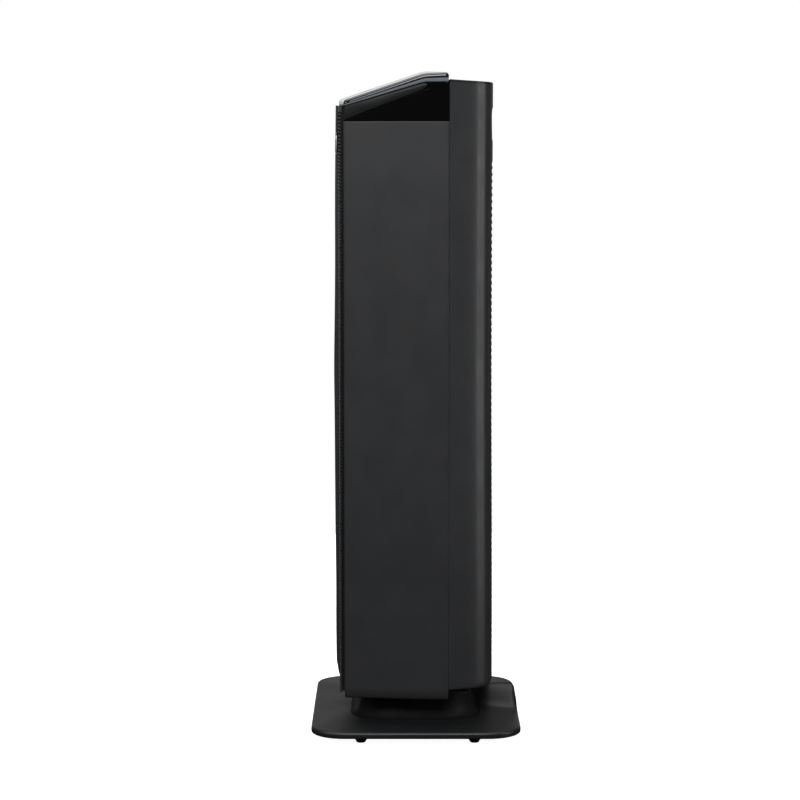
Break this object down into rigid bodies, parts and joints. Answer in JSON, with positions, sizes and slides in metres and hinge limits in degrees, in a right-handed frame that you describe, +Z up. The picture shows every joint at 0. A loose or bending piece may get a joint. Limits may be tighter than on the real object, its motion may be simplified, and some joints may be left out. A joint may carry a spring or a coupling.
{
  "type": "tower air purifier",
  "caption": "Tower air purifier on a wide pedestal base: satin side panels, fine horizontal front grille, sloped glossy control cap, and a rear intake door over a pleated filter.",
  "frame": {"origin": "middle of the bounding box, on the floor under the feet", "axes": "+Z up; +Y towards the rear intake door, so the outlet grille faces -Y; +X towards the right side seen from the front"},
  "size_m": [0.28, 0.224, 0.711],
  "materials": {
    "satin_shell": "satin",
    "base_shell": "semi-gloss",
    "gloss_black": "gloss",
    "smoked_cap": "high gloss",
    "bezel": "satin",
    "badge_silver": "satin",
    "inner_plastic": "matte",
    "steel": "brushed",
    "rubber": "matte",
    "board": "matte",
    "filter_media": "matte",
    "carbon": "matte",
    "filter_case": "matte",
    "brass": "satin",
    "lead": "satin"
  },
  "bodies": {
    "housing": {"badge": "badge_silver", "base_bottom_plate": "inner_plastic", "base_cover": "base_shell", "base_screw_1": "steel", "base_screw_2": "steel", "base_screw_3": "steel", "base_screw_4": "steel", "bearing_mount": "rubber", "bottom_pan": "inner_plastic", "carbon_prefilter": "carbon", "control_bezel": "bezel", "control_board": "board", "control_head": "gloss_black", "control_lead": "lead", "cord_gland": "rubber", "display_window": "gloss_black", "filter_frame": "filter_case", "filter_gasket": "rubber", "filter_grid": "inner_plastic", "filter_pleats": "filter_media", "foot_front_left": "rubber", "foot_front_right": "rubber", "foot_rear_left": "rubber", "foot_rear_right": "rubber", "front_grille": "satin_shell", "front_spine": "satin_shell", "hinge_pin_left": "steel", "hinge_pin_right": "steel", "housing_screw_left": "steel", "housing_screw_right": "steel", "left_inner_wall": "inner_plastic", "left_side_panel": "satin_shell", "lower_bulkhead": "inner_plastic", "motor": "steel", "motor_bracket": "steel", "motor_lead": "lead", "motor_screw_1": "steel", "motor_screw_2": "steel", "motor_screw_3": "steel", "power_board": "board", "rear_housing": "satin_shell", "rear_top_trim": "gloss_black", "right_inner_wall": "inner_plastic", "right_side_panel": "satin_shell", "scroll_wall": "inner_plastic", "top_cap": "smoked_cap", "upper_bearing": "brass", "upper_bulkhead": "inner_plastic", "vortex_tongue": "inner_plastic"},
    "fan": {"fan_rotor": "inner_plastic", "fan_shaft": "steel"},
    "rear_door": {"rear_door": "satin_shell"},
    "door_latch": {"door_latch": "bezel"},
    "timer_button": {"timer_button": "gloss_black"},
    "speed_button": {"speed_button": "gloss_black"},
    "power_button": {"power_button": "gloss_black"},
    "mode_button": {"mode_button": "gloss_black"},
    "filter_reset_button": {"filter_reset_button": "gloss_black"}
  },
  "joints": [
    {"name": "fan_spin", "type": "hinge", "parent": "housing", "child": "fan", "pos_m": [0, -0.025, 0.116], "axis": [0, 0, 1], "continuous": true},
    {"name": "rear_door_hinge", "type": "hinge", "parent": "housing", "child": "rear_door", "pos_m": [0, 0.0754, 0.069], "axis": [-1, 0, 0], "range_deg": [0, 75]},
    {"name": "door_latch_slide", "type": "slide", "parent": "rear_door", "child": "door_latch", "axis": [0, 0, -1], "range_m": [0, 0.003], "stiffness_N_per_m": 300, "springref_m": -0.001},
    {"name": "timer_button_press", "type": "slide", "parent": "housing", "child": "timer_button", "axis": [0, 0.3225, -0.9466], "range_m": [0, 0.0008], "stiffness_N_per_m": 500, "springref_m": -0.0008},
    {"name": "speed_button_press", "type": "slide", "parent": "housing", "child": "speed_button", "axis": [0, 0.3225, -0.9466], "range_m": [0, 0.0008], "stiffness_N_per_m": 500, "springref_m": -0.0008},
    {"name": "power_button_press", "type": "slide", "parent": "housing", "child": "power_button", "axis": [0, 0.3225, -0.9466], "range_m": [0, 0.0008], "stiffness_N_per_m": 500, "springref_m": -0.0008},
    {"name": "mode_button_press", "type": "slide", "parent": "housing", "child": "mode_button", "axis": [0, 0.3225, -0.9466], "range_m": [0, 0.0008], "stiffness_N_per_m": 500, "springref_m": -0.0008},
    {"name": "filter_reset_button_press", "type": "slide", "parent": "housing", "child": "filter_reset_button", "axis": [0, 0.3225, -0.9466], "range_m": [0, 0.0008], "stiffness_N_per_m": 500, "springref_m": -0.0008}
  ]
}
